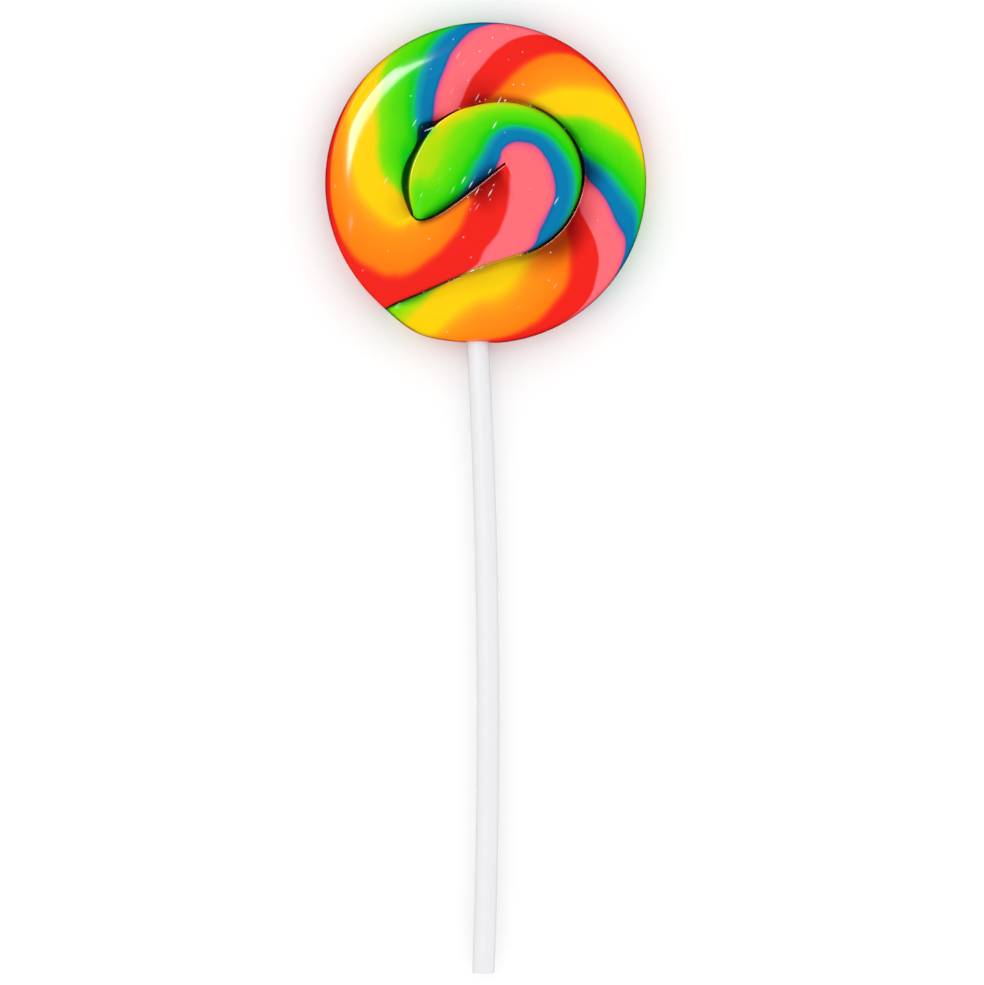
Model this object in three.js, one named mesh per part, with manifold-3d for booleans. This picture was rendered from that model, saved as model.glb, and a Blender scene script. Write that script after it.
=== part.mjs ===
// Swirl lollipop: a thick rope of hard candy coiled flat into a disc, on a thin white stick.
// It lies on its flat back with the swirl up (+Z) and the stick pointing along -Y.
// Millimetres and degrees. The origin is under the middle of the whole, on the surface it lies on.
import * as THREE from 'three';
import { mergeVertices } from 'three/addons/utils/BufferGeometryUtils.js';
import Module from 'manifold-3d';

// ---- Driving dimensions ----
const DISC_RADIUS = 35;
const DISC_THICKNESS = 9.5;
const STICK_DIAMETER = 4.8;
const STICK_LENGTH = 150;
const STICK_DEPTH = 13.2; // length of stick inside the candy
const STICK_BOW = 1.9; // sideways bow of the stick at its middle
const STICK_TOP_X = -2.5; // sideways place of the buried end
const STICK_FOOT_X = -0.5; // sideways place of the free end
const CLEARANCE = 0.3; // between the stick and its socket

// The rim stands out a little beside the rope's outer end and is drawn in over the stick.
const TAIL_SWELL = { size: 1.0, angle: -114, spread: 11 };
const STICK_NOTCH = { size: 0.35, angle: -92, spread: 4.5 };

// The spiral seam between the inner coil and the outer wrap, as a radius at each angle
// round the disc's centre: a round with two slow waves, then a straight run out to the rim.
const SEAM_RADIUS = 18.3;
const SEAM_SHIFT = { size: 1.9, angle: 5 };
const SEAM_OVAL = { size: 1.05, angle: 12 };
const RUN_OUT = { x: 9.1, y: -15.7, slope: 20.6 }; // a point on the straight stretch and its direction
const RUN_OUT_ANGLE = -69; // where the round becomes the straight stretch
const SEAM_PRESS = 0.45; // how far the outer wrap presses into the lower half of the coil
const PRESS_GROWS = [8, -25]; // the angles between which the press grows, going clockwise
const PRESS_FADES = [-108, -128];
const PRESS_PEAK = { size: 0.4, angle: -95, spread: 16 }; // pressed in further here
const HEAD_TIP_ANGLE = 204.8; // the pointed inner end of the rope
const HAIRPIN_START_ANGLE = 100.5; // where the rope begins to turn round the core
const HAIRPIN_END_ANGLE = -44;
const TAIL_TIP_ANGLE = -128.5; // the pointed outer end, on the rim

// The short inner seam, from the rope's inner tip to the core that the rope first turns round.
const CORE = { x: 4.1, y: 4.0 };
const INNER_SEAM_DIP = 2.4;
const INNER_SEAM_SKEW = 0.46; // below 1 the dip lies nearer the tip

// The rope's section is a flat-topped oval: a higher number has a flatter top and steeper sides.
const COIL_SQUARENESS = 3.0; // where coils meet
const RIM_SQUARENESS = 2.4; // on the free rim
const MOUTH_SQUARENESS = 5.0; // on the rim over the stick
const MOUTH_SPREAD = 9; // degrees of rim that swell over the stick
const BACK_BULGE = 1.12; // how far the back would bulge if it weren't flat
const TIP_WIDTH = 3.5; // below this width the rope gets thinner too
const HAIRLINE = 0.05; // gap left on each side of a seam
const FUSED_HALF_THICKNESS = 2.5; // the coils are fused up to this height from the middle
const FUSED_INSET = 2.2; // fused core's distance inside the rim

const RING_POINTS = 20;
const STICK_SIDES = 28;
const STICK_STEPS = 16;
const SOCKET_SIDES = 32;
const FUSED_SIDES = 72;
const TURN = 360;
const NEGLIGIBLE = 1e-5;

// ---- Places that follow from them ----
const overallLength = STICK_LENGTH - STICK_DEPTH + 2 * DISC_RADIUS;
const discCentre = new THREE.Vector3(0, overallLength / 2 - DISC_RADIUS, DISC_THICKNESS / 2);
const { degToRad: radians, radToDeg: degrees, lerp, smoothstep, euclideanModulo } = THREE.MathUtils;

function onDisc(radius, angle) {
  return new THREE.Vector2(radius * Math.cos(radians(angle)), radius * Math.sin(radians(angle)));
}

// A feature's size at an angle round the disc, fading over its spread on either side.
function featureAt(angle, feature) {
  const beside = euclideanModulo(angle - feature.angle + TURN / 2, TURN) - TURN / 2;
  return feature.size * Math.exp(-((beside / feature.spread) ** 2));
}

// ---- The stick, which bows a little to one side ----
const stickTop = new THREE.Vector3(STICK_TOP_X, STICK_DEPTH - DISC_RADIUS, 0);
const stickFoot = new THREE.Vector3(STICK_FOOT_X, stickTop.y - STICK_LENGTH, 0);
const stickBend = stickTop.clone().lerp(stickFoot, 0.5).add(new THREE.Vector3(2 * STICK_BOW, 0, 0));
const stickCurve = new THREE.QuadraticBezierCurve3(stickTop, stickBend, stickFoot);
const mouth = stickCurve.getPoint(STICK_DEPTH / STICK_LENGTH);
const mouthAngle = degrees(Math.atan2(mouth.y, mouth.x)) - TURN;

function roundBar(path, radius, sides, steps) {
  const outline = Array.from({ length: sides }, (_, i) => onDisc(radius, (TURN * i) / sides));
  return new THREE.ExtrudeGeometry(new THREE.Shape(outline), { extrudePath: path, steps });
}

function socketGeometry() {
  const outwards = stickCurve.getTangent(0);
  const blindEnd = stickTop.clone().addScaledVector(outwards, -CLEARANCE);
  const open = stickTop.clone().addScaledVector(outwards, STICK_DEPTH + STICK_DIAMETER);
  const radius = STICK_DIAMETER / 2 + CLEARANCE;
  return roundBar(new THREE.LineCurve3(blindEnd, open), radius, SOCKET_SIDES, 1);
}

// ---- The two edges of the rope, seen from above, around the disc's centre ----
function seamPress(angle) {
  const grown = smoothstep(-angle, -PRESS_GROWS[0], -PRESS_GROWS[1]);
  const faded = smoothstep(-angle, -PRESS_FADES[0], -PRESS_FADES[1]);
  return SEAM_PRESS * (grown - faded) + featureAt(angle, PRESS_PEAK);
}

function runOutRadius(angle) {
  const slope = radians(RUN_OUT.slope);
  const distance = RUN_OUT.x * Math.sin(slope) - RUN_OUT.y * Math.cos(slope);
  return (distance - seamPress(angle)) / Math.sin(slope - radians(angle));
}

function seamPoint(angle) {
  if (angle < RUN_OUT_ANGLE) {
    return onDisc(runOutRadius(angle), angle);
  }
  const shift = SEAM_SHIFT.size * Math.cos(radians(angle - SEAM_SHIFT.angle));
  const oval = SEAM_OVAL.size * Math.cos(2 * radians(angle - SEAM_OVAL.angle));
  return onDisc(SEAM_RADIUS + shift + oval - seamPress(angle), angle);
}

// The rope's outer edge follows the seam for the inner coil, then the round rim.
function outerEdge(angle) {
  if (angle > TAIL_TIP_ANGLE) {
    return seamPoint(angle);
  }
  const rim = DISC_RADIUS + featureAt(angle, TAIL_SWELL) - featureAt(angle, STICK_NOTCH);
  return onDisc(rim, angle);
}

function innerSeamPoint(fraction) {
  const tip = seamPoint(HEAD_TIP_ANGLE);
  const along = new THREE.Vector2(CORE.x, CORE.y).sub(tip);
  const across = new THREE.Vector2(-along.y, along.x).normalize();
  const dip = -INNER_SEAM_DIP * Math.sin(Math.PI * fraction ** INNER_SEAM_SKEW);
  return tip.addScaledVector(along, fraction).addScaledVector(across, dip);
}

// The rope in spans, from its inner tip to its outer one. Each says how the inner edge moves
// while the outer edge turns clockwise from one angle to the next.
const headTip = () => innerSeamPoint(0);
const core = () => innerSeamPoint(1);
const SPANS = [
  // the head, from the inner tip to the core
  { steps: 16, turn: [HEAD_TIP_ANGLE, HAIRPIN_START_ANGLE], inner: innerSeamPoint },
  // the hairpin bend round the core
  { steps: 18, turn: [HAIRPIN_START_ANGLE, HAIRPIN_END_ANGLE], inner: core },
  // back along the head, to its tip
  { steps: 14, turn: [HAIRPIN_END_ANGLE, TAIL_TIP_ANGLE], inner: (f) => innerSeamPoint(1 - f) },
  // round the head's tip, out to the rim
  { steps: 4, turn: [TAIL_TIP_ANGLE, HEAD_TIP_ANGLE - TURN], inner: headTip },
  // the outer wrap
  {
    steps: 64,
    turn: [HEAD_TIP_ANGLE - TURN, TAIL_TIP_ANGLE - TURN],
    inner: (f) => seamPoint(lerp(HEAD_TIP_ANGLE, TAIL_TIP_ANGLE, f)),
  },
];
const ROPE_STEPS = SPANS.reduce((sum, span) => sum + span.steps, 0);

function ribAt(station) {
  let start = 0;
  for (const span of SPANS) {
    if (station <= start + span.steps) {
      const fraction = (station - start) / span.steps;
      const angle = lerp(span.turn[0], span.turn[1], fraction);
      return { inner: span.inner(fraction), outer: outerEdge(angle), angle };
    }
    start += span.steps;
  }
  throw new Error(`no rib at station ${station}`);
}

// ---- The rope's section at a rib ----
function rimSquareness(angle) {
  if (angle > TAIL_TIP_ANGLE) {
    return COIL_SQUARENESS;
  }
  const nearness = Math.exp(-(((angle - mouthAngle) / MOUTH_SPREAD) ** 2));
  return lerp(RIM_SQUARENESS, MOUTH_SQUARENESS, nearness);
}

function sectionPoint(rib, across, up) {
  const width = rib.outer.distanceTo(rib.inner);
  const direction = rib.outer.clone().sub(rib.inner).normalize();
  const halfWidth = Math.max(width / 2 - HAIRLINE, HAIRLINE);
  const thin = Math.min(1, (width + HAIRLINE) / TIP_WIDTH);
  const thinning = Math.sqrt(1 - (1 - thin) ** 2);
  const halfHeight = (DISC_THICKNESS / 2) * thinning * (up < 0 ? BACK_BULGE : 1);
  const power = 2 / (across > 0 ? rimSquareness(rib.angle) : COIL_SQUARENESS);
  const sideways = Math.sign(across) * Math.abs(across) ** power * halfWidth;
  const middle = rib.inner.clone().add(rib.outer).multiplyScalar(0.5);
  middle.addScaledVector(direction, sideways);
  return new THREE.Vector3(middle.x, middle.y, Math.sign(up) * Math.abs(up) ** power * halfHeight);
}

// A closed cylinder, one unit long, whose rows become the rope's ribs.
function ropeGeometry() {
  const geometry = new THREE.CylinderGeometry(1, 1, 1, RING_POINTS, ROPE_STEPS);
  const position = geometry.attributes.position;
  for (let i = 0; i < position.count; i += 1) {
    const station = Math.round((position.getY(i) + 0.5) * ROPE_STEPS);
    const point = sectionPoint(ribAt(station), cleaned(position.getX(i)), cleaned(-position.getZ(i)));
    position.setXYZ(i, point.x, point.y, point.z);
  }
  return geometry;
}

function cleaned(value) {
  return Math.abs(value) < NEGLIGIBLE ? 0 : value;
}

// ---- Joining and cutting ----
const wasm = await Module();
wasm.setup();

function solidOf(geometry) {
  const bare = geometry.clone();
  bare.deleteAttribute('normal');
  bare.deleteAttribute('uv');
  const merged = mergeVertices(bare, NEGLIGIBLE);
  return new wasm.Manifold(new wasm.Mesh({
    numProp: 3,
    vertProperties: new Float32Array(merged.attributes.position.array),
    triVerts: new Uint32Array(merged.index.array),
  }));
}

function geometryOf(solid) {
  const mesh = solid.getMesh();
  const geometry = new THREE.BufferGeometry();
  geometry.setAttribute('position', new THREE.BufferAttribute(mesh.vertProperties, 3));
  geometry.setIndex(new THREE.BufferAttribute(mesh.triVerts, 1));
  geometry.computeVertexNormals();
  return geometry;
}

// ---- The candy: rope and fused core, flat on the back, with the stick's socket ----
function candyGeometry() {
  const fused = new THREE.CylinderGeometry(
    DISC_RADIUS - FUSED_INSET,
    DISC_RADIUS - FUSED_INSET,
    2 * FUSED_HALF_THICKNESS,
    FUSED_SIDES,
  ).rotateX(Math.PI / 2);
  const room = 3 * DISC_RADIUS;
  const aboveBack = new THREE.BoxGeometry(room, room, room)
    .translate(0, 0, room / 2 - DISC_THICKNESS / 2);
  return geometryOf(
    solidOf(ropeGeometry())
      .add(solidOf(fused))
      .intersect(solidOf(aboveBack))
      .subtract(solidOf(socketGeometry())),
  );
}

// ---- The lollipop ----
const lollipop = new THREE.Group();

const candy = new THREE.Mesh(
  candyGeometry(),
  new THREE.MeshStandardMaterial({ color: 0xf3702a, roughness: 0.12, metalness: 0 }),
);
candy.name = 'candy';
candy.position.copy(discCentre);
lollipop.add(candy);

const stick = new THREE.Mesh(
  roundBar(stickCurve, STICK_DIAMETER / 2, STICK_SIDES, STICK_STEPS),
  new THREE.MeshStandardMaterial({ color: 0xf1f1f3, roughness: 0.5, metalness: 0 }),
);
stick.name = 'stick';
stick.position.copy(discCentre);
lollipop.add(stick);

export default lollipop;
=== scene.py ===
"""A swirl lollipop: one twisted rope of hard candy coiled flat, on a white paper stick."""

import math
from typing import NamedTuple

import bmesh
import bpy
from bpy.props import FloatProperty, FloatVectorProperty, IntProperty, PointerProperty
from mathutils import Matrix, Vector, noise


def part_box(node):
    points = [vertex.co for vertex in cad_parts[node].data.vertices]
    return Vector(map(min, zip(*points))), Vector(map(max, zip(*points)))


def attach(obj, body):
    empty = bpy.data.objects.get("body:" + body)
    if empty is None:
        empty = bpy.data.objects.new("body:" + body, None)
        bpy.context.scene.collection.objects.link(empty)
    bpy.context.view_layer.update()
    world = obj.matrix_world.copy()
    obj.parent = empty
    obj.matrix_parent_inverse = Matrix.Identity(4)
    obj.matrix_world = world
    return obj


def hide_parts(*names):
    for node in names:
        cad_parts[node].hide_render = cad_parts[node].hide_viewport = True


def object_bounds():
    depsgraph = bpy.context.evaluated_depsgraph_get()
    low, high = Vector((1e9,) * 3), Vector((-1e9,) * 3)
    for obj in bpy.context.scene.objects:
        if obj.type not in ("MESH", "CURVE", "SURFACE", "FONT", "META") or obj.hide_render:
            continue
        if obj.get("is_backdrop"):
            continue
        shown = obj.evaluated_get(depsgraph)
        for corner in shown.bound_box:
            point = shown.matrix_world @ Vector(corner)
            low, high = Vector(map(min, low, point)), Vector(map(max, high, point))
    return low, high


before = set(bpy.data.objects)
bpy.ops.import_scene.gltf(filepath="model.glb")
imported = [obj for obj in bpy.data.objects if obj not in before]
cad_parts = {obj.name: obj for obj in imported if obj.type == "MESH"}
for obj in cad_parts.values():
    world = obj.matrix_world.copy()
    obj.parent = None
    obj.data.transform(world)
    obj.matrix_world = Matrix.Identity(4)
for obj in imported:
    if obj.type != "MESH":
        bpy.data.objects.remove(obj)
CAD_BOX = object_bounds()

bl_info = {
    "name": "Swirl Lollipop",
    "version": (1, 0, 0),
    "blender": (4, 5, 0),
    "location": "3D View > Sidebar > Lollipop",
    "description": "Builds a coiled rainbow candy, its paper stick and a plain studio",
    "category": "Add Mesh",
}

MM = 0.001
TURN = 2 * math.pi
CANDY_LOW, CANDY_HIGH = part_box("candy")
STICK_LOW, STICK_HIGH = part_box("stick")
FIBRE_WIDTH = 0.5 * MM  # coarser than real paper fibres, so that they show
FIBRE_LENGTH = 4 * MM
RIDGES_ACROSS = 2.4  # in each mm of skin; coarser than real pulling ridges, so that they show
RIDGES_ALONG = 0.05
# Sizes of the painted glints on the creases of the clear film.
FLECK_WIDTH = 0.9 * MM  # one crease of the film, larger than a real one, so that it shows
STROKE_LENGTH = 6.5 * MM
SPECK_LENGTH = 1.3 * MM
FLECK_LEAN = math.radians(30)
ROLL = 0.075  # how far the pressed rope has rolled outwards, as a share of its half width


def linear(hex_colour):
    """An sRGB hex colour as the linear values that Blender's sockets take."""
    channels = [int(hex_colour[i : i + 2], 16) / 255 for i in (1, 3, 5)]
    return [c / 12.92 if c <= 0.04045 else ((c + 0.055) / 1.055) ** 2.4 for c in channels]


def length(name, description, default):
    """A length in metres that shows in the sidebar with the scene's units."""
    return FloatProperty(
        name=name,
        description=description,
        default=default,
        precision=5,
        subtype="DISTANCE",
        unit="LENGTH",
    )


def angle(name, description, degrees):
    """An angle that is given here in degrees."""
    return FloatProperty(
        name=name,
        description=description,
        default=math.radians(degrees),
        subtype="ANGLE",
        unit="ROTATION",
    )


def colour(name, description, hex_colour):
    """A colour whose default is an sRGB hex value."""
    return FloatVectorProperty(
        name=name,
        description=description,
        default=linear(hex_colour),
        min=0,
        max=1,
        subtype="COLOR",
    )


def number(name, description, default):
    """A plain number without a unit."""
    return FloatProperty(name=name, description=description, default=default, precision=3)


# ---- What a user would change ----
class CandySizes(bpy.types.PropertyGroup):
    """The candy rope, the way it is coiled and the way it is twisted."""

    radius: length("Disc radius", "Middle of the disc to its rim", (CANDY_HIGH.x - CANDY_LOW.x) / 2)
    thickness: length("Thickness", "From the flat back to the crest", CANDY_HIGH.z - CANDY_LOW.z)

    seam_radius: length("Seam radius", "Mean radius of the seam round the inner coil", 18.3 * MM)
    seam_shift: length("Seam shift", "How far the inner coil sits off centre", 1.9 * MM)
    seam_shift_angle: angle("Seam shift angle", "The side that the inner coil is nearer to", 5)
    seam_oval: length("Seam oval", "How far the inner coil is out of round", 1.05 * MM)
    seam_oval_angle: angle("Seam oval angle", "Direction of the inner coil's long axis", 12)
    seam_press: length("Seam press", "How far the wrap presses into the coil", 0.45 * MM)
    tail_swell: length("Tail swell", "How far the rim stands out beside the tail", 1.0 * MM)
    stick_notch: length("Stick notch", "How far the rim is drawn in over the stick", 0.35 * MM)
    run_out_x: length("Run-out X", "A point on the seam's straight stretch", 9.1 * MM)
    run_out_y: length("Run-out Y", "A point on the seam's straight stretch", -15.7 * MM)
    run_out_slope: angle("Run-out slope", "Direction of the seam's straight stretch", 20.6)
    run_out_angle: angle("Run-out angle", "Where the seam turns straight", -69)
    head_tip: angle("Head tip", "Angle of the rope's pointed inner end", 204.8)
    hairpin_start: angle("Hairpin start", "Where the rope starts to turn round the core", 100.5)
    hairpin_end: angle("Hairpin end", "Where the rope has turned round the core", -44)
    tail_tip: angle("Tail tip", "Angle of the rope's pointed outer end", -128.5)
    tail_reach: angle("Tail reach", "How far the rim keeps the seam's squareness", 40.107)
    core_x: length("Core X", "The point that the rope first turns round", 4.1 * MM)
    core_y: length("Core Y", "The point that the rope first turns round", 4.0 * MM)
    inner_dip: length("Inner seam dip", "How far the inner seam sags", 2.4 * MM)
    inner_skew: number("Inner seam skew", "Below 1 the sag lies nearer the tip", 0.46)

    hairline: length("Hairline", "Gap on each side of a seam", 0.05 * MM)
    crisp_shoulder: number("Crisp shoulder", "Squareness where a seam's edge is sharp", 56.0)
    head_shoulder: number("Head shoulder", "Squareness of the head's upper edge", 56.0)
    worn_shoulder: number("Worn shoulder", "Squareness on the outside of the inner coil", 12.0)
    soft_shoulder: number("Soft shoulder", "Squareness on the head's lower side", 8.0)
    flank: length("Flank", "Sideways lean of a seam's walls", 0.15 * MM)
    head_flank: length("Head flank", "Extra lean of the wall round the head", 0.9 * MM)
    rim_squareness: number("Rim squareness", "Squareness of the free rim", 2.5)
    mouth_squareness: number("Mouth squareness", "Squareness of the rim over the stick", 5.0)
    mouth_x: length("Mouth X", "Sideways place of the stick at the rim", -1.8 * MM)
    mouth_spread: angle("Mouth spread", "How much of the rim swells over the stick", 9)
    back_bulge: number("Back bulge", "How far the back would bulge if it weren't flat", 1.12)
    tip_width: length("Tip width", "Below this width the rope gets thinner too", 3.5 * MM)
    web_squareness: number("Web squareness", "Squareness of the fused sugar's section", 3.0)
    web_width: length("Web width", "Fused sugar under a seam", 3.2 * MM)
    web_top: length("Web top", "Top of the fused sugar, above the middle", 2.6 * MM)
    web_dip: length("Web dip", "How much lower it lies in the deep recesses", 4.0 * MM)
    web_rise: length("Web rise", "How much higher it lies under the straight seam", 1.8 * MM)

    loose_twist: length("Loose twist", "Rope length for one turn of the inner coil", 115 * MM)
    tight_twist: length("Tight twist", "Rope length for one turn of the outer wrap", 58.5 * MM)
    tail_twist: length("Tail twist", "Rope length for one turn near the tail", 102 * MM)
    tight_from: length("Tight from", "Rope length at which the twist tightens", 108 * MM)
    tight_to: length("Tight to", "Rope length at which the twist loosens again", 207.8 * MM)
    blue_starts: length("Blue starts", "Rope length at which the blue stripe starts", 25.8 * MM)

    stations: IntProperty(name="Stations", description="Ribs along the rope", default=620, min=40)
    ring: IntProperty(name="Ring", description="Faces round the rope", default=120, min=12)
    web_ring: IntProperty(
        name="Web ring", description="Faces round the fused sugar", default=52, min=12
    )


class CandyColours(bpy.types.PropertyGroup):
    """Food colours of the six stripes, in their order round the rope, and the film's glint."""

    teal: colour("Teal", "Blue where it runs into the green", "#0A9AA6")
    blue: colour("Blue", "Body of the blue stripe", "#007AAE")
    navy: colour("Navy", "Blue where it meets the pink", "#0A5C9C")
    magenta: colour("Magenta", "Thin line where blue shows through the pink", "#E0508A")
    pink: colour("Pink", "Body of the pink stripe", "#FB6C76")
    red: colour("Red", "Body of the red stripe", "#EE2219")
    scarlet: colour("Scarlet", "Red where it meets the orange", "#F43C14")
    orange: colour("Orange", "Body of the orange stripe", "#FD7A06")
    amber: colour("Amber", "Orange where it runs into the yellow", "#FD9010")
    yellow: colour("Yellow", "Body of the yellow stripe", "#F8CE00")
    lime: colour("Lime", "Green where it runs into the yellow", "#80DE00")
    green: colour("Green", "Body of the green stripe", "#5ADC00")
    emerald: colour("Emerald", "Green where it runs into the blue", "#10CC04")
    glint: colour("Glint", "Light on the creases of the clear film", "#F3F6F3")


class StickSizes(bpy.types.PropertyGroup):
    """The paper stick."""

    diameter: length("Diameter", "Across the stick", STICK_HIGH.z - STICK_LOW.z)
    stick_length: length("Length", "From end to end", 150 * MM)
    depth: length("Depth", "Length of stick inside the candy", 13.2 * MM)
    bow: length("Bow", "Sideways bow at the middle", 1.9 * MM)
    top_x: length("Top X", "Sideways place of the buried end", -2.5 * MM)
    foot_x: length("Foot X", "Sideways place of the free end", -0.5 * MM)
    end_rounding: length("End rounding", "Softened edge of the cut end", 0.35 * MM)
    sides: IntProperty(name="Sides", description="Faces round the stick", default=64, min=12)
    steps: IntProperty(name="Steps", description="Rings along the stick", default=120, min=8)
    paper: colour("Paper", "White of the rolled paper", "#E9E9EC")


class StudioSizes(bpy.types.PropertyGroup):
    """The floor, the lights and the camera."""

    floor: colour("Floor", "Pale floor", "#FAFAFA")
    floor_width: length("Floor width", "Side of the square floor", 4.0)
    frame_height: length("Frame height", "Height of the view at the candy", 214.1 * MM)
    aim_x: length("Aim X", "Middle of the view, right of the disc's middle", 1.37 * MM)
    aim_y: length("Aim Y", "Middle of the view, above the disc's middle", -67.3 * MM)
    camera_height: length("Camera height", "Above the middle of the candy", 1.6)
    tent: number("Light tent", "Strength of the white surroundings", 1.12)


# ---- Shapes ----
def disc_centre():
    """The middle of the candy; its height up the page is taken from the round top of the disc."""
    middle = (CANDY_LOW + CANDY_HIGH) / 2
    return Vector((middle.x, CANDY_HIGH.y - (CANDY_HIGH.x - CANDY_LOW.x) / 2, middle.z))


def on_disc(radius, turned):
    return Vector((radius * math.cos(turned), radius * math.sin(turned)))


def mix(a, b, share):
    return a + (b - a) * share


def smooth(value, low, high):
    """0 below low, 1 above high and a smooth step between them."""
    share = min(1, max(0, (value - low) / (high - low)))
    return share * share * (3 - 2 * share)


def bump(value, centre, spread):
    """1 at centre, falling to nothing a few spreads away."""
    return math.exp(-(((value - centre) / spread) ** 2))


def facing(turned, middle, spread):
    """1 where an angle in radians meets a middle in degrees, fading over a spread in degrees."""
    return bump((math.degrees(turned) - middle + 180) % 360 - 180, 0, spread)


class Hollow(NamedTuple):
    """A place beside the seam: its middle and spread in degrees, its depth and reach in mm."""

    middle: float
    spread: float
    depth: float
    reach: float = 0


# Real recesses, where the outer wrap's inner shoulder is sunk back.
SUNK_SHOULDERS = (Hollow(139, 7.5, 2.3), Hollow(178, 16, 0.8), Hollow(13, 11, 0.35))
# Painted shade on the outer wrap beside the seam, where shade falls; depth and reach in mm.
SHADED_SEAM = (
    Hollow(196, 14, 1.3, 2.2),
    Hollow(172, 14, 1.7, 0.9),
    Hollow(136, 13, 3.2, 1.7),
    Hollow(97, 14, 1.9, 2.6),
    Hollow(72, 18, 1.7, 1.2),
    Hollow(50, 14, 1.6, 1.0),
    Hollow(28, 11, 2.6, 1.4),
    Hollow(6, 10, 3.0, 2.5),
    Hollow(-15, 12, 1.2, 2.0),
    Hollow(-38, 17, 4.2, 2.9),
    Hollow(-62, 12, 1.6, 2.2),
    Hollow(-92, 22, 1.7, 1.8),
    Hollow(-122, 9, 2.2, 1.2),
)


class Stray(NamedTuple):
    """A place where the hand twist runs ahead of an even one, or behind it.

    The turns it is ahead; where it is along the rope and its spread, in mm; the side of the rope,
    1 outer or -1 inner; and where on that side it starts and is full, from -1 to 1.
    """

    turns: float
    middle: float
    spread: float
    side: int
    starts: float
    full: float


STRAYS = (
    Stray(-0.03, 30, 8, 1, 0.2, 0.8),
    Stray(0.03, 58, 14, 1, 0.6, 1),
    Stray(0.05, 69, 8, 1, 0.4, 0.9),
    Stray(0.1, 79, 7, 1, 0.8, 1),
    Stray(0.065, 102, 9, -1, -0.5, 0.8),
    Stray(-0.06, 102, 6, 1, 0.76, 0.9),
    Stray(-0.042, 114, 11, 1, 0, 0.6),
    Stray(0.022, 121, 9, -1, -0.2, 0.6),
    Stray(-0.035, 151, 9, -1, 0.5, 0.9),
    Stray(0.03, 192, 8, 1, 0.3, 0.8),
)


class Rib(NamedTuple):
    """One rib across the rope, seen from above, around the disc's middle.

    Painted shade: how much darker the sugar is painted beside an edge, and how far, in mm.
    """

    inner: Vector
    outer: Vector
    along: float
    inner_power: float
    outer_power: float
    inner_taper: float
    outer_taper: float
    top: float
    bottom: float
    inner_painted_shade: tuple
    outer_painted_shade: tuple = (0, 1)
    broad: float = 1


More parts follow.
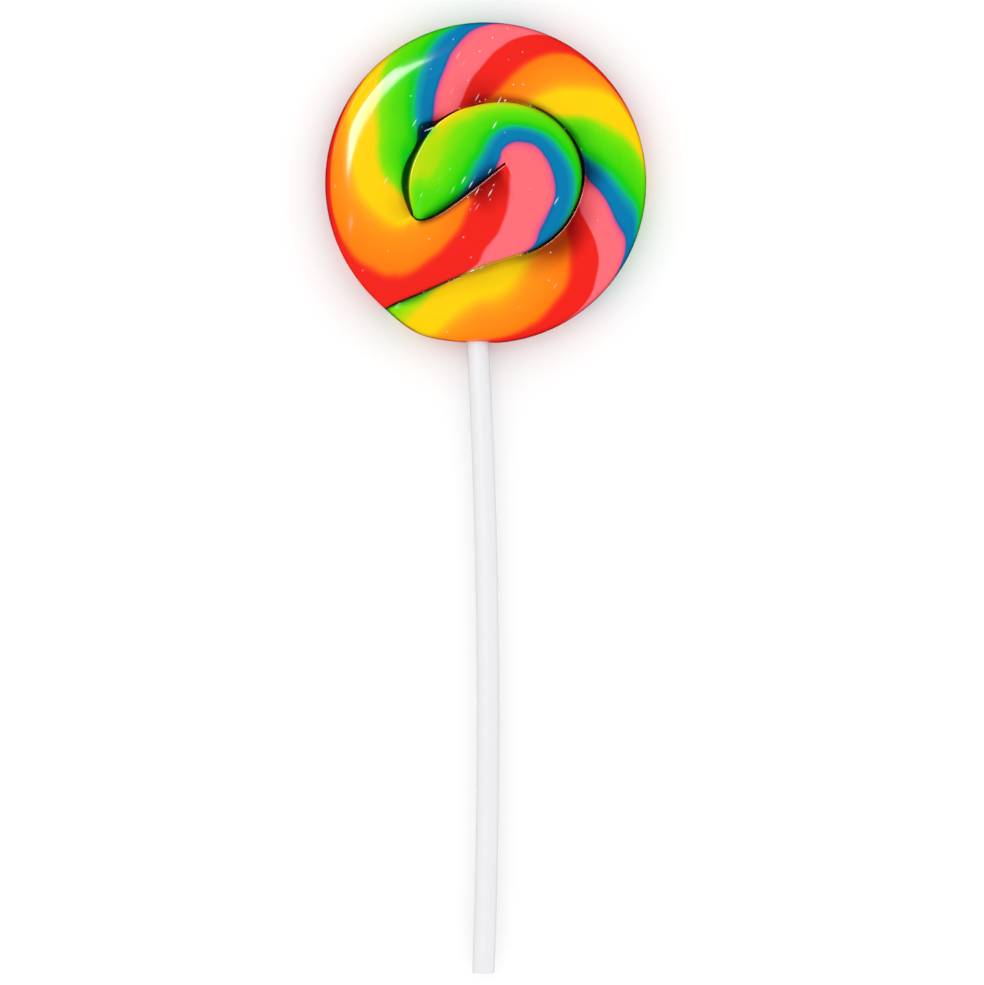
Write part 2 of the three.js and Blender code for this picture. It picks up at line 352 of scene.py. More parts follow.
class RopePath:
    """The two edges of the candy rope and the shape of its shoulders."""

    def __init__(self, sizes):
        self.sizes = sizes
        self.tip = self.seam(sizes.head_tip)
        self.core = Vector((sizes.core_x, sizes.core_y))

    def press(self, turned):
        """How far the outer wrap is pressed in over the lower half of the inner coil."""
        degrees = -math.degrees(turned)
        lower_half = smooth(degrees, -8, 25) - smooth(degrees, 108, 128)
        deepest = 0.9 * bump(degrees, 95, 16)
        return self.sizes.seam_press * (lower_half + deepest)

    def run_out(self, turned):
        """From the disc's middle to the seam's straight stretch, at an angle."""
        sizes = self.sizes
        slope = sizes.run_out_slope
        distance = sizes.run_out_x * math.sin(slope) - sizes.run_out_y * math.cos(slope)
        return (distance - self.press(turned)) / math.sin(slope - turned)

    def seam(self, turned):
        """The spiral seam between the inner coil and the outer wrap."""
        sizes = self.sizes
        if turned < sizes.run_out_angle:
            return on_disc(self.run_out(turned), turned)
        shift = sizes.seam_shift * math.cos(turned - sizes.seam_shift_angle)
        oval = sizes.seam_oval * math.cos(2 * (turned - sizes.seam_oval_angle))
        return on_disc(sizes.seam_radius + shift + oval - self.press(turned), turned)

    def inner_seam(self, share):
        """The short seam from the rope's inner tip to the core."""
        along = self.core - self.tip
        across = Vector((-along.y, along.x)).normalized()
        dip = -self.sizes.inner_dip * math.sin(math.pi * share**self.sizes.inner_skew)
        return self.tip + along * share + across * dip

    def outer_edge(self, turned):
        """The seam for the inner coil, then the round rim."""
        if turned > self.sizes.tail_tip:
            return self.seam(turned)
        beside_tail = facing(turned, -114, 11)
        over_stick = facing(turned, -92, 4.5)
        swell = self.sizes.tail_swell * beside_tail
        notch = self.sizes.stick_notch * over_stick
        return on_disc(self.sizes.radius + swell - notch, turned)

    def spans(self):
        """(share of the ribs, outer edge's first and last angle, inner edge) along the rope."""
        sizes = self.sizes
        head, tail = sizes.head_tip, sizes.tail_tip
        return (
            (0.10, head, sizes.hairpin_start, self.inner_seam),
            (0.13, sizes.hairpin_start, sizes.hairpin_end, lambda share: self.inner_seam(1)),
            (0.12, sizes.hairpin_end, tail, lambda share: self.inner_seam(1 - share)),
            (0.04, tail, head - TURN, lambda share: self.inner_seam(0)),
            (0.61, head - TURN, tail - TURN, lambda share: self.seam(mix(head, tail, share))),
        )

    def recess(self, turned):
        """How far the outer wrap's inner shoulder is sunk back at an angle of the seam."""
        return sum(at.depth * MM * facing(turned, at.middle, at.spread) for at in SUNK_SHOULDERS)

    def painted_shade_beside_seam(self, turned):
        """Painted shade on the outer wrap beside the seam: (depth, reach)."""
        depths = [at.depth * facing(turned, at.middle, at.spread) for at in SHADED_SEAM]
        reaches = [depth * at.reach for depth, at in zip(depths, SHADED_SEAM)]
        reach = sum(reaches) / max(sum(depths), 0.01)
        return sum(depths), max(reach, 0.5)

    def painted_shade_beside_core(self, span, share):
        """Painted shade on the head and the returning coil beside the inner seam: (depth, reach).
        """
        if span == 0:
            ends = smooth(share, 0.04, 0.15) * (1 - smooth(share, 0.85, 1))
            return 2.2 * ends, 1.5 + 0.5 * smooth(share, 0.55, 0.8)
        if span == 2:
            ends = smooth(share, 0, 0.12) * (1 - smooth(share, 0.93, 1))
            far = smooth(share, 0.3, 0.5)
            return 2.8 * ends, 3 - 2 * far
        return 0, 1

    def painted_shade_outside(self, along):
        """Painted shade on the rope beside its outer edge: (depth, reach)."""
        coil = smooth(along, 22, 34) * (1 - smooth(along, 50, 58))
        tail = smooth(along, 238, 241)
        return 1.5 * coil + 2.4 * tail, mix(1.2, 0.5, tail)

    def shoulders(self, turned, span, share, width):
        """(inner power, outer power, inner taper, outer taper) of a rib's section."""
        sizes = self.sizes
        inner_power, outer_power = sizes.crisp_shoulder, sizes.worn_shoulder
        inner_taper, outer_taper = sizes.flank, sizes.flank
        if span == 0:
            inner_power = mix(sizes.soft_shoulder, sizes.crisp_shoulder, smooth(share, 0.7, 1))
            crisp = smooth(math.degrees(turned), 100, 118)
            outer_power = mix(sizes.worn_shoulder, sizes.head_shoulder, crisp)
            outer_taper += sizes.head_flank * smooth(math.degrees(turned), 126, 158)
        if span >= 3:
            mouth = math.atan2(-sizes.radius, sizes.mouth_x) - TURN
            nearness = bump(turned, mouth, sizes.mouth_spread)
            outer_power = mix(sizes.rim_squareness, sizes.mouth_squareness, nearness)
            past_tail = smooth(sizes.tail_tip - turned, 0, sizes.tail_reach)
            outer_power = mix(sizes.worn_shoulder, outer_power, past_tail)
            outer_taper = 0
        if span == 4:
            beside = mix(sizes.head_tip, sizes.tail_tip, share)
            inner_taper += self.recess(beside)
        steepest = 0.3 * width
        return inner_power, outer_power, min(steepest, inner_taper), min(steepest, outer_taper)

    def ribs(self):
        """The ribs of the rope, from its head to its tail.

        Where the rope is narrow its section keeps the slope of a round one, so the tips are thin.
        """
        sizes = self.sizes
        made = []
        along = 0
        middle = None
        for span, (ribs_share, first, last, inner_edge) in enumerate(self.spans()):
            steps = round(ribs_share * sizes.stations)
            for step in range(1 if made else 0, steps + 1):
                share = step / steps
                turned = mix(first, last, share)
                inner, outer = inner_edge(share), self.outer_edge(turned)
                width = (outer - inner).length
                along += ((inner + outer) / 2 - middle).length if made else 0
                middle = (inner + outer) / 2
                thin = min(1, (width + sizes.hairline) / sizes.tip_width)
                half = sizes.thickness / 2 * math.sqrt(1 - (1 - thin) ** 2)
                shoulders = self.shoulders(turned, span, share, width)
                bottom = half * sizes.back_bulge
                # Painted shade beside the rib's inner and outer edges.
                inside = self.painted_shade_beside_core(span, share)
                if span == 4:
                    inside = self.painted_shade_beside_seam(mix(sizes.head_tip, sizes.tail_tip, share))
                outside = self.painted_shade_outside(along / MM)
                made.append(Rib(inner, outer, along, *shoulders, half, bottom, inside, outside))
        return self.evened(made)

    def evened(self, ribs):
        """Notes how much broader each rib is than those round it, beside the tail's tip."""
        sizes = self.sizes
        tip_spread, blur, window = 9 * MM, 5 * MM, 12 * MM
        corner = next(r.along for r in ribs if r.outer.length > 0.999 * sizes.radius)
        made = []
        for rib in ribs:
            beside = bump(rib.along, corner, tip_spread)
            near = [r for r in ribs if abs(r.along - rib.along) < window]
            shares = [bump(r.along, rib.along, blur) for r in near]
            widths = [(r.outer - r.inner).length for r in near]
            even = sum(s * w for s, w in zip(shares, widths)) / sum(shares)
            broad = mix(1, (rib.outer - rib.inner).length / even, beside)
            made.append(rib._replace(broad=broad))
        return made

    def wrap_web(self, share):
        """(top, painted shade, share of its width) of the web under the seam round the inner coil.
        """
        sizes = self.sizes
        turned = math.degrees(mix(sizes.head_tip, sizes.tail_tip, share))
        beside_head = 0.25 * smooth(turned, 114, 132) + 0.6 * bump(turned, 138, 12)
        recesses = max(bump(turned, 13, 14), 0.5 * bump(turned, -38, 14))
        over_head = smooth(turned, 50, 64) - smooth(turned, 110, 122)
        flush = smooth(-turned, 52, 66) - 0.6 * smooth(-turned, 98, 112)
        top = sizes.web_top - sizes.web_dip * (beside_head + recesses)
        top += sizes.web_rise * (over_head + flush)
        # Painted shade on the web, lighter where it lies flush and beside the head.
        painted_shade = mix(2.2, 1.7, flush) - 1.2 * smooth(turned, 145, 160)
        ends = smooth(share, 0, 0.03) * smooth(1 - share, 0, 0.06)
        return top, painted_shade, ends

    def core_web(self, share):
        """(top, painted shade, share of its width) of the web under the inner seam."""
        return self.sizes.web_top, mix(2.2, 1.7, smooth(share, 0.85, 1)), smooth(share, 0, 0.03)

    def web_ribs(self, rope):
        """Ribs of the two low webs of sugar that have fused the coils under their seams."""
        sizes = self.sizes
        powers = (sizes.web_squareness, sizes.web_squareness)
        # The web's painted shade reaches this far, so it is as dark all over.
        whole_web = 9  # a reach in mm, so the web is as dark all over
        head_ribs, wrap_ribs = (round(self.spans()[i][0] * sizes.stations) for i in (0, 4))
        for ribs, web in ((rope[-wrap_ribs:], self.wrap_web), (rope[:head_ribs], self.core_web)):
            made = []
            for i, rib in enumerate(ribs):
                top, painted_shade, ends = web(i / (len(ribs) - 1))
                across = (rib.outer - rib.inner).normalized() * sizes.web_width / 2 * ends
                inner, outer = rib.inner - across, rib.inner + across
                bottom = MM + max(0, -top)
                shade = (painted_shade, whole_web)
                made.append(Rib(inner, outer, rib.along, *powers, 0, 0, top, bottom, shade))
            yield made


def ring_angles(sizes, faces):
    """(angle, millimetres of skin walked) round a section, from its inner edge over the top.

    Half of the steps are even along the skin and half are even in how far the skin turns, so
    the crisp shoulders get enough of them.
    """
    fine = 4000
    power = 2 / sizes.crisp_shoulder
    half_width = 8.5 * MM
    half_height = sizes.thickness / 2

    def at(share):
        turned = math.pi - TURN * share
        cosine, sine = math.cos(turned), math.sin(turned)
        x = math.copysign(abs(cosine) ** power, cosine) * half_width
        return Vector((x, math.copysign(abs(sine) ** power, sine) * half_height))

    points = [at(i / fine) for i in range(fine + 1)]
    skin = [0]
    turns = [0]
    heading = Vector((0, 1))
    for a, b in zip(points, points[1:]):
        skin.append(skin[-1] + (b - a).length)
        turns.append(turns[-1] + abs((b - a).angle(heading, 0)))
        heading = b - a
    walked = [s / skin[-1] + t / turns[-1] for s, t in zip(skin, turns)]
    angles = []
    i = 0
    for j in range(faces + 1):
        while i < fine and walked[i] < walked[-1] * j / faces:
            i += 1
        angles.append((math.pi - TURN * i / fine, skin[i] / MM))
    return angles


def section_point(sizes, rib, turned):
    """The skin at an angle round a rib's section: (place, across -1 to 1, up -1 to 1)."""
    width = (rib.outer - rib.inner).length
    sideways = (rib.outer - rib.inner).normalized()
    half_width = max(width / 2 - sizes.hairline, sizes.hairline)
    cosine, sine = math.cos(turned), math.sin(turned)
    power = 2 / (rib.outer_power if cosine > 0 else rib.inner_power)
    across = math.copysign(abs(cosine) ** power, cosine)
    up = math.copysign(abs(sine) ** power, sine)
    taper = (rib.outer_taper if cosine > 0 else rib.inner_taper) * max(0, up)
    flat = (rib.inner + rib.outer) / 2 + sideways * across * (half_width - taper)
    height = up * (rib.top if up > 0 else rib.bottom)
    return Vector((flat.x, flat.y, max(height, -sizes.thickness / 2))), across, up


def unevenness(place):
    """How far the pressed top is sunk at a place, in metres: wide hollows and small dimples."""
    wide = 1 + noise.noise(place / (11 * MM))
    small = 1 + noise.noise(place / (4.5 * MM) + Vector((7, 3, 0)))
    return MM * (0.09 * wide + 0.03 * small)


def softened_rise(value, start, spread):
    """Grows evenly after start, with a soft beginning."""
    over = (value - start) / spread
    return spread * (max(over, 0) + math.log1p(math.exp(-abs(over))))


def hand_twist(along, across):
    """How the twist strays from an even one, in turns; along is in millimetres."""
    strays = sum(
        at.turns * bump(along, at.middle, at.spread) * smooth(at.side * across, at.starts, at.full)
        for at in STRAYS
    )
    coil_starts = 20 + 28 * smooth(across, -0.2, 0.6)
    coil = smooth(along, coil_starts, coil_starts + 8) - smooth(along, 70, 80)
    inside_hairpin = bump(along, 48, 12) * ((1 - across) / 2) ** 2
    lower_wrap = smooth(along, 192, 202) - smooth(along, 220, 228)
    inner_half = 1 - 0.6 * smooth(across, 0.1, 0.6)
    head_tip = smooth(across, -1, 0.3) * (1 - smooth(along, 4, 11))
    return (
        strays
        + 0.034 * coil
        - 0.09 * inside_hairpin
        + 0.03 * lower_wrap * inner_half
        - 0.028 * bump(along, 232, 5)
        + 0.028 * smooth(along, 236, 243)
        + 0.16 * head_tip
    )


def stripe_phase(sizes, along, across, up):
    """Turns of the stripes at a place on the skin; the blue stripe starts at whole numbers."""
    loose, tight, tail = (1 / t for t in (sizes.loose_twist, sizes.tight_twist, sizes.tail_twist))

    def twisted(at):
        tightening = softened_rise(at, sizes.tight_from, 2.5 * MM)
        loosening = softened_rise(at, sizes.tight_to, 2 * MM)
        return loose * at + (tight - loose) * tightening - (tight - tail) * loosening

    lean = math.asin(max(-1, min(1, mix(across, 1, ROLL))))
    if up < 0:
        lean = math.pi - lean
    spread_by_pressing = 0.012 * math.sin(2 * lean)
    round_rope = lean / TURN - spread_by_pressing
    tail_tip = 1 - 0.9 * smooth(along, 224 * MM, 245 * MM)
    even = twisted(along) - twisted(sizes.blue_starts) - round_rope * tail_tip
    phase = even + hand_twist(along / MM, across)

    # The head shows lime along its upper edge, and its stripes start later there.
    head = 1 - smooth(along, 24 * MM, 36 * MM)
    past_tip = smooth(along, 14 * MM, 20 * MM)
    upper_edge = past_tip * smooth(across, 0.8, 0.97)
    lime_at_most = -0.19 - 0.02 * smooth(along, 20 * MM, 26 * MM) - 0.16 * upper_edge
    green_edge = 0.16 * (1 - past_tip) * smooth(across, 0.86, 0.93)
    phase = mix(phase, max(phase, lime_at_most), head) + green_edge

    # The green is broader round the hairpin, and the red runs on along the rim.
    hairpin = 1 - smooth(along, 38 * MM, 50 * MM)
    phase -= 0.065 * hairpin * bump(phase, -0.12, 0.08) * smooth(across, -0.8, 0.2)
    outer_wrap = smooth(along, 82 * MM, 92 * MM) - smooth(along, 214 * MM, 224 * MM)
    red_tail = smooth(across, 0.82, 0.99) * outer_wrap
    phase -= 0.19 * red_tail * bump(phase % 1, 0.53, 0.12)

    # The green deepens early beside the seams.
    beside_inner_edge = smooth(-across, 0.2, 0.8)
    beside_outer_edge = smooth(across, 0.5, 0.9) * bump(along, 42 * MM, 12 * MM)
    beside_head = 0.7 * smooth(-across, 0.1, 0.8) * bump(along, 103 * MM, 9 * MM)
    beside_seam = beside_inner_edge + beside_outer_edge + beside_head
    return phase + 0.055 * beside_seam * bump(phase % 1, 0.88, 0.055)


def stripe_place(sizes, rib, place):
    """How far across the rope a place is, from above: -1 at its inner edge, 1 at its outer."""
    side = rib.outer - rib.inner
    width = max(side.length, 4 * sizes.hairline)
    from_middle = (place.xy - (rib.inner + rib.outer) / 2).dot(side) / width
    share = max(0, 0.5 + from_middle / (width - 2 * sizes.hairline)) * rib.broad
    return min(1, 2 * share - 1)


def shade_depth(sizes, rib, place, across, up, is_web):
    """Painted shade in a seam and beside the rim, as depths in millimetres: (seam, rim)."""
    # Painted shade: a little towards the inner edge, more close to each edge, less on the
    # underside.
    painted_shade = 0.6 * smooth(-across, -0.2, 1)
    for (depth, reach), edge in ((rib.inner_painted_shade, rib.inner), (rib.outer_painted_shade, rib.outer)):
        painted_shade += depth * bump((place.xy - edge).length, 0, reach * MM)
    painted_shade *= mix(0.3, 1, smooth(up, -0.3, 0.3))
    # The head's lit flank gets less painted shade, and painted shade fades out towards the flat
    # back.
    lit_flank = 0.75 * smooth(rib.outer_taper, 0.3 * MM, 1.5 * MM) * smooth(across, 0, 0.5)
    above_back = smooth(place.z + sizes.thickness / 2, 0, 3.8 * MM)
    sunk = (sizes.thickness / 2 - place.z) / MM * (1 - lit_flank) * above_back
    # Beside the free rim the depth below the top gives the painted rim shade; elsewhere it adds to
    # the painted seam shade.
    beside_rim = across > 0 and rib.outer_taper == 0 and not is_web
    return (painted_shade, sunk) if beside_rim else (sunk + painted_shade, 0)


def film_glint_chances(rib, place, across, is_web):
    """Chances of painted glints where the clear film is crinkled: (stroke chance, speck chance)."""
    along = rib.along / MM
    from_inner = (place.xy - rib.inner).length / MM
    if is_web:
        return 0.5, 0.3
    inner_seam = 0.9 * max(bump(along, 17, 7), bump(along, 57, 8)) * bump(from_inner, 0, 2.4)
    speckled_rim = 0.8 * bump(along, 186, 16) * smooth(across, 0.86, 0.92)
    pit = 0.3 * smooth(rib.inner_taper, MM, 2 * MM) * smooth(-across, 0.8, 0.95)
    head = 0.14 * bump(along, 14, 13)
    near_highlight = 0.05 * bump(along, 130, 18)
    strokes = max(inner_seam, speckled_rim, pit, head, near_highlight, 0.012)
    below_inner_seam = 0.12 * bump(along, 58, 10) * bump(from_inner, 2, 5)
    return strokes, max(below_inner_seam, 0.05 * bump(along, 132, 16), 0.008)


def sweep(bm, sizes, ribs, layers, is_web=False):
    """Rolls a flat grid round the ribs, fills in its UV maps, and closes its ends."""
    faces = sizes.web_ring if is_web else sizes.ring
    ring = ring_angles(sizes, faces)
    stations = len(ribs) - 1
    made = bmesh.ops.create_grid(bm, x_segments=stations, y_segments=faces, size=0.5)
    skin = {}
    for vert in made["verts"]:
        rib = ribs[round((vert.co.x + 0.5) * stations)]
        turned, walked = ring[round((vert.co.y + 0.5) * faces)]
        place, across, up = section_point(sizes, rib, turned)
        along = rib.along / MM
        shade = shade_depth(sizes, rib, place, across, up, is_web)
        if is_web:
            phase = stripe_phase(sizes, rib.along, -1, 1)
        else:
            phase = stripe_phase(sizes, rib.along, stripe_place(sizes, rib, place), up)
            place.z -= unevenness(place) * max(0, up)
        # Painted glints of the film go only on the top.
        facing_up = smooth(up, 0.5, 0.9)
        film = [chance * facing_up for chance in film_glint_chances(rib, place, across, is_web)]
        skin[vert] = (place, (phase, along), (walked, along), shade, film)
    for face in {face for vert in made["verts"] for face in vert.link_faces}:
        for loop in face.loops:
            for layer, uv in zip(layers, skin[loop.vert][1:]):
                loop[layer].uv = uv
    for vert in made["verts"]:
        vert.co = skin[vert][0]
    bmesh.ops.remove_doubles(bm, verts=made["verts"], dist=0.0005 * MM)
    ends = [edge for edge in bm.edges if edge.is_boundary]
    bmesh.ops.holes_fill(bm, edges=ends, sides=0)


def roll_candy(bm, sizes):
    """The coiled rope and the webs between its coils, with four UV maps.

    Stripes holds the turns of the stripes and the length along the rope; Skin the way round and
    along the skin; Hollow how much painted shade a place gets in the seams and under the rim, as a
    depth; and Film the chance of a painted glint, as a stroke and as a speck, where the clear film
    is crinkled. Lengths are in millimetres.
    """
    layers = [bm.loops.layers.uv.new(name) for name in ("Stripes", "Skin", "Hollow", "Film")]
    path = RopePath(sizes)
    rope = path.ribs()
    sweep(bm, sizes, rope, layers)
    for web in path.web_ribs(rope):
        sweep(bm, sizes, web, layers, is_web=True)


def finished_mesh(bm, name, place, material):
    """Moves a bmesh to its place, turns it into a smooth mesh object and gives it its material."""
    bmesh.ops.translate(bm, verts=bm.verts, vec=place)
    bmesh.ops.recalc_face_normals(bm, faces=bm.faces)
    mesh = bpy.data.meshes.new(name)
    bm.to_mesh(mesh)
    bm.free()
    mesh.materials.append(material)
    mesh.shade_smooth()
    piece = bpy.data.objects.new(name, mesh)
    bpy.context.scene.collection.objects.link(piece)
    return piece


# ---- Materials ----
def node(tree, kind, sockets=None, **settings):
    """Adds a node, sets its settings, and sets or links its sockets."""
    made = tree.nodes.new(kind)
    for name, value in settings.items():
        setattr(made, name, value)
    for name, value in (sockets or {}).items():
        if isinstance(value, bpy.types.NodeSocket):
            tree.links.new(value, made.inputs[name])
        else:
            made.inputs[name].default_value = value
    return made


def new_material(name):
    """An empty node material: (material, its tree, its Principled shader)."""
    material = bpy.data.materials.new(name)
    material.use_nodes = True
    tree = material.node_tree
    tree.nodes.clear()
    shader = node(tree, "ShaderNodeBsdfPrincipled")
    node(tree, "ShaderNodeOutputMaterial", {"Surface": shader.outputs["BSDF"]})
    return material, tree, shader


def rgba(rgb):
    return (*rgb, 1)


def stripe_stops(colours):
    """(place in the turn, colour) along the six stripes, from the blue's edge round to it again."""
    # Where each stripe starts, and half the width of a crisp, a firm and a soft border, in turns
    blue, pink, red, orange, yellow, green = 0, 0.112, 0.267, 0.42, 0.602, 0.781
    crisp, firm, soft = 0.005, 0.012, 0.026
    return (
        (blue, mix(Vector(colours.teal), Vector(colours.emerald), 0.4)),
        (blue + soft * 0.6, colours.teal),
        (blue + 0.045, colours.blue),
        (pink - 0.02, colours.blue),
        (pink - crisp, colours.navy),
        (pink + crisp * 0.4, colours.magenta),
        (pink + 3 * crisp, mix(Vector(colours.magenta), Vector(colours.pink), 0.6)),
        (pink + 0.04, colours.pink),
        (red - crisp, colours.pink),
        (red + crisp, colours.red),
        (orange - 0.03, colours.red),
        (orange - firm, colours.scarlet),
        (orange + firm, colours.orange),
        (yellow - 0.05, colours.amber),
        (yellow - soft * 0.6, mix(Vector(colours.amber), Vector(colours.yellow), 0.25)),
        (yellow + soft, colours.yellow),
        (green - soft, colours.yellow),
        (green, mix(Vector(colours.yellow), Vector(colours.lime), 0.55)),
        (green + soft, colours.lime),
        (green + 0.08, colours.green),
        (1 - 0.07, mix(Vector(colours.green), Vector(colours.emerald), 0.45)),
        (1 - 0.03, colours.emerald),
        (1 - 0.008, mix(Vector(colours.teal), Vector(colours.emerald), 0.8)),
    )


def shade_by_depth(tree, depth, start, full, darkest):
    """Painted shade for a depth in millimetres: 1 at start, darkest at full."""
    ramp = node(
        tree,
        "ShaderNodeMapRange",
        {"Value": depth, "From Min": start, "From Max": full, "To Min": 1.0, "To Max": darkest},
        interpolation_type="SMOOTHSTEP",
    )
    return ramp.outputs["Result"]


def painted_film_glints(tree, place, fleck_length, chances):
    """Painted glints, all leaning one way, where the clear film is creased and catches the light.
    """
    leaning = node(
        tree,
        "ShaderNodeMapping",
        {"Vector": place, "Rotation": (0, 0, FLECK_LEAN)},
    )
    stretched = node(
        tree,
        "ShaderNodeVectorMath",
        {0: leaning.outputs["Vector"], 1: (1 / FLECK_WIDTH, 1 / fleck_length, 0)},
        operation="MULTIPLY",
    )
    cells = node(
        tree,
        "ShaderNodeTexVoronoi",
        {"Vector": stretched.outputs["Vector"], "Scale": 1.0, "Randomness": 1.0},
        voronoi_dimensions="2D",
    )
    stroke = node(
        tree,
        "ShaderNodeMapRange",
        {"Value": cells.outputs["Distance"], "From Min": 0.17, "From Max": 0.06},
    )
    chance = node(tree, "ShaderNodeSeparateColor", {"Color": cells.outputs["Color"]})
    kept = node(
        tree,
        "ShaderNodeMath",
        {0: chance.outputs["Red"], 1: chances},
        operation="LESS_THAN",
    )
    strength = node(
        tree,
        "ShaderNodeMath",
        {0: kept.outputs["Value"], 1: chance.outputs["Green"]},
        operation="MULTIPLY",
    )
    fleck = node(
        tree,
        "ShaderNodeMath",
        {0: stroke.outputs["Result"], 1: strength.outputs["Value"]},
        operation="MULTIPLY",
    )
    return fleck.outputs["Value"]


def boiled_sugar(colours):
    """Boiled sugar, pulled into a striped rope, coiled warm and pressed.

    Hard glassy sugar under a high gloss. Its colours are clear and strong; painted shade darkens
    and deepens them in the seams and under the rim. The skin keeps faint ridges along the rope from
    the pulling, which break the gloss into streaks. Painted glints stand for the light on the clear
    film round it where it is crinkled.
    """
    material, tree, shader = new_material("boiled_sugar_pulled")
    stripes = node(tree, "ShaderNodeUVMap", uv_map="Stripes")
    place = node(tree, "ShaderNodeSeparateXYZ", {"Vector": stripes.outputs["UV"]})
    solid = node(tree, "ShaderNodeTexCoord")

    # The borders of the stripes wander a little, as strips pulled by hand do.
    wander_size = 9 * MM
    wander_turns = 0.03
    wander = node(
        tree,
        "ShaderNodeTexNoise",
        {"Vector": solid.outputs["Object"], "Scale": 1 / wander_size, "Detail": 1.0},
    )
    off = node(
        tree,
        "ShaderNodeMath",
        {0: wander.outputs["Fac"], 1: wander_turns, 2: -wander_turns / 2},
        operation="MULTIPLY_ADD",
    )
    phase = node(
        tree, "ShaderNodeMath", {0: place.outputs["X"], 1: off.outputs["Value"]}, operation="ADD"
    )
    turn = node(tree, "ShaderNodeMath", {0: phase.outputs["Value"]}, operation="FRACT")
    ramp = node(tree, "ShaderNodeValToRGB", {"Fac": turn.outputs["Value"]})
    stops = stripe_stops(colours)
    while len(ramp.color_ramp.elements) < len(stops):
        ramp.color_ramp.elements.new(0.5)
    for element, (position, rgb) in zip(ramp.color_ramp.elements, stops):
        element.position = position
        element.color = rgba(rgb)

    # Painted shade: the sugar is painted darker and deeper in colour where less light gets in.
    hollow = node(tree, "ShaderNodeUVMap", uv_map="Hollow")
    sunk = node(tree, "ShaderNodeSeparateXYZ", {"Vector": hollow.outputs["UV"]})
    painted_seam_shade = shade_by_depth(tree, sunk.outputs["X"], start=0.2, full=3.4, darkest=0.32)
    painted_rim_shade = shade_by_depth(tree, sunk.outputs["Y"], start=1.9, full=4.0, darkest=0.55)
    shade = node(tree, "ShaderNodeMath", {0: painted_seam_shade, 1: painted_rim_shade}, operation="MULTIPLY")
    deep = node(tree, "ShaderNodeGamma", {"Color": ramp.outputs["Color"], "Gamma": 2.1})
    unshaded = node(
        tree,
        "ShaderNodeMix",
        {0: shade.outputs["Value"], 6: deep.outputs["Color"], 7: ramp.outputs["Color"]},
        data_type="RGBA",
    )
    shaded = node(
        tree,
        "ShaderNodeVectorMath",
        {0: unshaded.outputs[2], "Scale": shade.outputs["Value"]},
        operation="SCALE",
    )
    # Painted glints: strokes and specks of the glint colour where the clear film is crinkled.
    film = node(tree, "ShaderNodeUVMap", uv_map="Film")
    crinkled = node(tree, "ShaderNodeSeparateXYZ", {"Vector": film.outputs["UV"]})
    on_candy = solid.outputs["Object"]
    strokes = painted_film_glints(tree, on_candy, STROKE_LENGTH, crinkled.outputs["X"])
    specks = painted_film_glints(tree, on_candy, SPECK_LENGTH, crinkled.outputs["Y"])
    painted_glints = node(tree, "ShaderNodeMath", {0: strokes, 1: specks}, operation="MAXIMUM")
    with_painted_glints = node(
        tree,
        "ShaderNodeMix",
        {0: painted_glints.outputs["Value"], 6: shaded.outputs["Vector"], 7: rgba(colours.glint)},
        data_type="RGBA",
    )
    tree.links.new(with_painted_glints.outputs[2], shader.inputs["Base Color"])

    skin = node(tree, "ShaderNodeUVMap", uv_map="Skin")
    drawn = node(
        tree,
        "ShaderNodeVectorMath",
        {0: skin.outputs["UV"], 1: (RIDGES_ACROSS, RIDGES_ALONG, 0)},
        operation="MULTIPLY",
    )
    ridges = node(
        tree,
        "ShaderNodeTexNoise",
        {"Vector": drawn.outputs["Vector"], "Scale": 1.0, "Detail": 3.0},
    )
    bumped = node(
        tree,
        "ShaderNodeBump",
        {"Height": ridges.outputs["Fac"], "Strength": 1.0, "Distance": 0.02 * MM},
    )
    tree.links.new(bumped.outputs["Normal"], shader.inputs["Normal"])
    tree.links.new(bumped.outputs["Normal"], shader.inputs["Coat Normal"])
    streaks = node(
        tree,
        "ShaderNodeMapRange",
        {"Value": ridges.outputs["Fac"], "From Min": 0.4, "From Max": 0.56, "To Min": 0.5},
    )
    tree.links.new(streaks.outputs["Result"], shader.inputs["Coat Weight"])
    shader.inputs["Roughness"].default_value = 0.2
    shader.inputs["IOR"].default_value = 1.5
    shader.inputs["Specular IOR Level"].default_value = 0.0
    shader.inputs["Coat Roughness"].default_value = 0.12
    shader.inputs["Coat IOR"].default_value = 1.5
    return material


def rolled_paper(sizes):
    """White paper rolled into a stick and calendered.

    Smooth and satin; the fibres cloud the white a little and leave a very faint grain along it.
    """
    material, tree, shader = new_material("paper_rolled_calendered")
    solid = node(tree, "ShaderNodeTexCoord")
    drawn = node(
        tree,
        "ShaderNodeVectorMath",
        {0: solid.outputs["Object"], 1: (1 / FIBRE_WIDTH, 1 / FIBRE_LENGTH, 1 / FIBRE_WIDTH)},
        operation="MULTIPLY",
    )
    fibres = node(
        tree,
        "ShaderNodeTexNoise",
        {"Vector": drawn.outputs["Vector"], "Scale": 1.0, "Detail": 2.0},
    )
    cloud_shade = 0.96
    clouded = node(
        tree,
        "ShaderNodeMix",
        {
            0: fibres.outputs["Fac"],
            6: rgba([channel * cloud_shade for channel in sizes.paper]),
            7: rgba(sizes.paper),
        },
        data_type="RGBA",
    )
    tree.links.new(clouded.outputs[2], shader.inputs["Base Color"])
    grain = node(
        tree,
        "ShaderNodeBump",
        {"Height": fibres.outputs["Fac"], "Strength": 1.0, "Distance": 0.01 * MM},
    )
    tree.links.new(grain.outputs["Normal"], shader.inputs["Normal"])
    shader.inputs["Roughness"].default_value = 0.42
    return material


# ---- The pieces ----
class LOLLIPOP_OT_candy(bpy.types.Operator):
    """Build the coiled candy rope"""

    bl_idname = "lollipop.candy"
    bl_label = "Candy"

    def execute(self, context):
        sizes = context.scene.lollipop_candy
        bm = bmesh.new()
        roll_candy(bm, sizes)
        material = boiled_sugar(context.scene.lollipop_colours)
        candy = finished_mesh(bm, "candy_rope", disc_centre(), material)
        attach(candy, "root")
        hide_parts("candy")
        return {"FINISHED"}


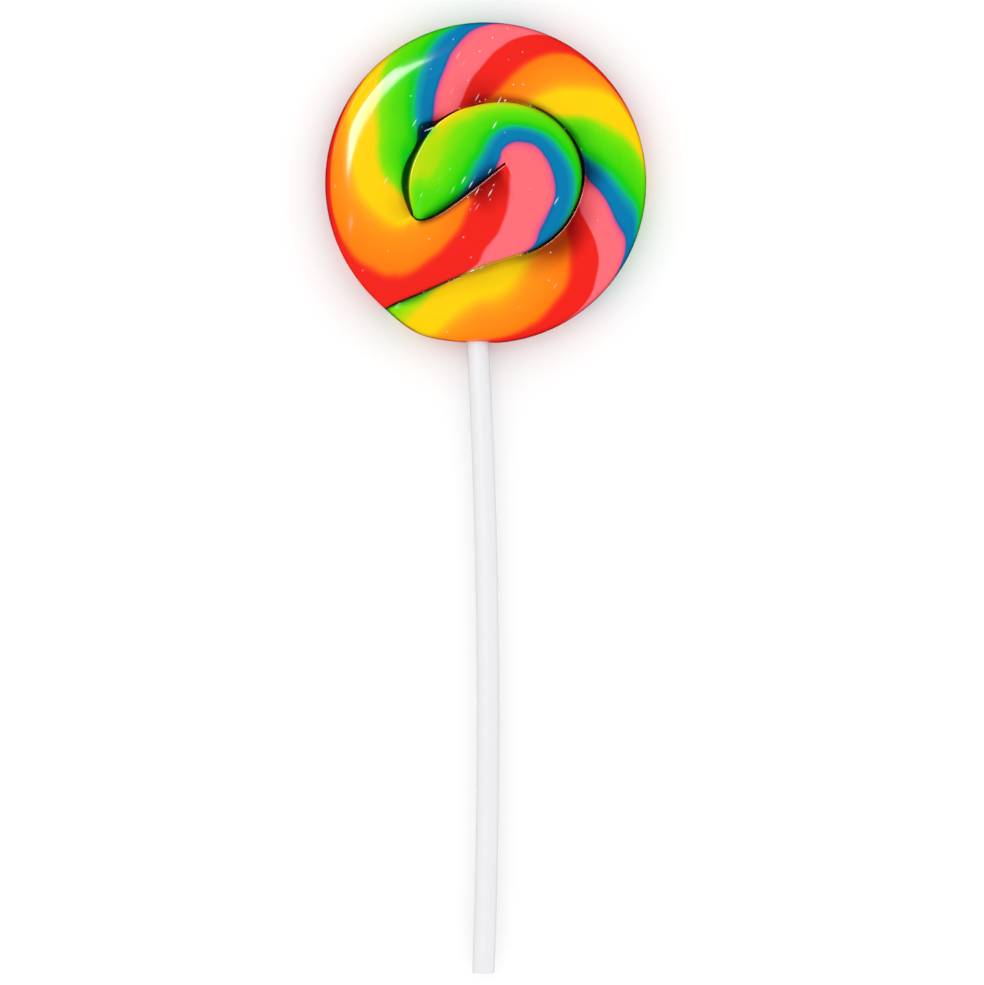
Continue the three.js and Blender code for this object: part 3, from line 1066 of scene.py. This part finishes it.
class LOLLIPOP_OT_stick(bpy.types.Operator):
    """Build the paper stick"""

    bl_idname = "lollipop.stick"
    bl_label = "Stick"

    def execute(self, context):
        sizes = context.scene.lollipop_stick
        radius = context.scene.lollipop_candy.radius
        bm = bmesh.new()
        bmesh.ops.create_cone(
            bm,
            cap_ends=True,
            segments=sizes.sides,
            radius1=sizes.diameter / 2,
            radius2=sizes.diameter / 2,
            depth=sizes.stick_length,
        )
        sides = [edge for edge in bm.edges if edge.calc_length() > sizes.stick_length / 2]
        bmesh.ops.subdivide_edges(bm, edges=sides, cuts=sizes.steps - 1, use_grid_fill=True)
        rims = [edge for edge in bm.edges if any(len(face.verts) > 4 for face in edge.link_faces)]
        bmesh.ops.bevel(
            bm,
            geom=rims,
            offset=sizes.end_rounding,
            affect="EDGES",
            segments=4,
            profile=0.5,
            material=-1,
        )
        top = Vector((sizes.top_x, sizes.depth - radius, 0))
        foot = Vector((sizes.foot_x, top.y - sizes.stick_length, 0))
        for vert in bm.verts:
            share = 0.5 - vert.co.z / sizes.stick_length
            bow = 4 * sizes.bow * share * (1 - share)
            middle = top.lerp(foot, share)
            vert.co = Vector((middle.x + bow + vert.co.x, middle.y, vert.co.y))
        stick = finished_mesh(bm, "paper_stick", disc_centre(), rolled_paper(sizes))
        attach(stick, "root")
        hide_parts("stick")
        return {"FINISHED"}


class LOLLIPOP_OT_studio(bpy.types.Operator):
    """Build the floor, the lights and the camera"""

    bl_idname = "lollipop.studio"
    bl_label = "Studio"

    def softbox(self, name, azimuth, zenith, distance, size, power):
        """An area light for the candy's gloss, at an azimuth and a zenith angle in degrees."""
        light = bpy.data.lights.new(name, "AREA")
        light.shape = "RECTANGLE"
        light.size, light.size_y = size
        light.energy = power
        lamp = bpy.data.objects.new(name, light)
        a, z = math.radians(azimuth), math.radians(zenith)
        towards = Vector((math.cos(a) * math.sin(z), math.sin(a) * math.sin(z), math.cos(z)))
        lamp.location = disc_centre() + towards * distance
        lamp.rotation_euler = towards.to_track_quat("Z", "Y").to_euler()
        lamp.visible_diffuse = False
        bpy.context.scene.collection.objects.link(lamp)

    def execute(self, context):
        sizes = context.scene.lollipop_studio
        scene = context.scene
        centre = disc_centre()

        bm = bmesh.new()
        bmesh.ops.create_grid(bm, x_segments=1, y_segments=1, size=sizes.floor_width / 2)
        material, tree, shader = new_material("floor_matt_white")
        shader.inputs["Base Color"].default_value = rgba(sizes.floor)
        shader.inputs["Roughness"].default_value = 0.9
        floor = finished_mesh(bm, "floor", Vector((0, 0, 0)), material)
        floor.visible_glossy = False
        floor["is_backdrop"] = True

        world = bpy.data.worlds.new("studio")
        world.use_nodes = True
        world.node_tree.nodes["Background"].inputs["Color"].default_value = (1, 1, 1, 1)
        world.node_tree.nodes["Background"].inputs["Strength"].default_value = sizes.tent
        scene.world = world
        world.cycles_visibility.glossy = False
        self.softbox("key", azimuth=141, zenith=28.5, distance=0.7, size=(0.24, 0.25), power=3.2)
        self.softbox(
            "low_strip", azimuth=146, zenith=76, distance=0.8, size=(0.6, 0.05), power=0.25
        )

        camera_data = bpy.data.cameras.new("camera")
        camera = bpy.data.objects.new("camera", camera_data)
        camera.location = centre + Vector((sizes.aim_x, sizes.aim_y, sizes.camera_height))
        camera_data.sensor_width = 36
        camera_data.lens = camera_data.sensor_width * sizes.camera_height / sizes.frame_height
        camera_data.clip_end = 10
        scene.collection.objects.link(camera)
        scene.camera = camera
        scene.view_settings.view_transform = "Standard"
        return {"FINISHED"}


# ---- The add-on ----
class LOLLIPOP_PT_panel(bpy.types.Panel):
    """Lists the lollipop's pieces and sizes"""

    bl_idname = "LOLLIPOP_PT_panel"
    bl_label = "Swirl Lollipop"
    bl_space_type = "VIEW_3D"
    bl_region_type = "UI"
    bl_category = "Lollipop"

    def draw(self, context):
        for operator in OPERATORS:
            self.layout.operator(operator.bl_idname)
        for group in GROUPS:
            box = self.layout.box()
            for name in GROUPS[group].__annotations__:
                box.prop(getattr(context.scene, group), name)


GROUPS = {
    "lollipop_candy": CandySizes,
    "lollipop_colours": CandyColours,
    "lollipop_stick": StickSizes,
    "lollipop_studio": StudioSizes,
}
OPERATORS = (LOLLIPOP_OT_candy, LOLLIPOP_OT_stick, LOLLIPOP_OT_studio)
CLASSES = (*GROUPS.values(), *OPERATORS, LOLLIPOP_PT_panel)


def register():
    for cls in CLASSES:
        bpy.utils.register_class(cls)
    for name, group in GROUPS.items():
        setattr(bpy.types.Scene, name, PointerProperty(type=group))


def unregister():
    for name in GROUPS:
        delattr(bpy.types.Scene, name)
    for cls in reversed(CLASSES):
        bpy.utils.unregister_class(cls)


def main():
    register()
    bpy.ops.lollipop.candy()
    bpy.ops.lollipop.stick()
    bpy.ops.lollipop.studio()
    boxes = {"cad": CAD_BOX, "visual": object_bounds()}
    {name: [list(corner) for corner in box] for name, box in boxes.items()}


if __name__ == "__main__":
    main()
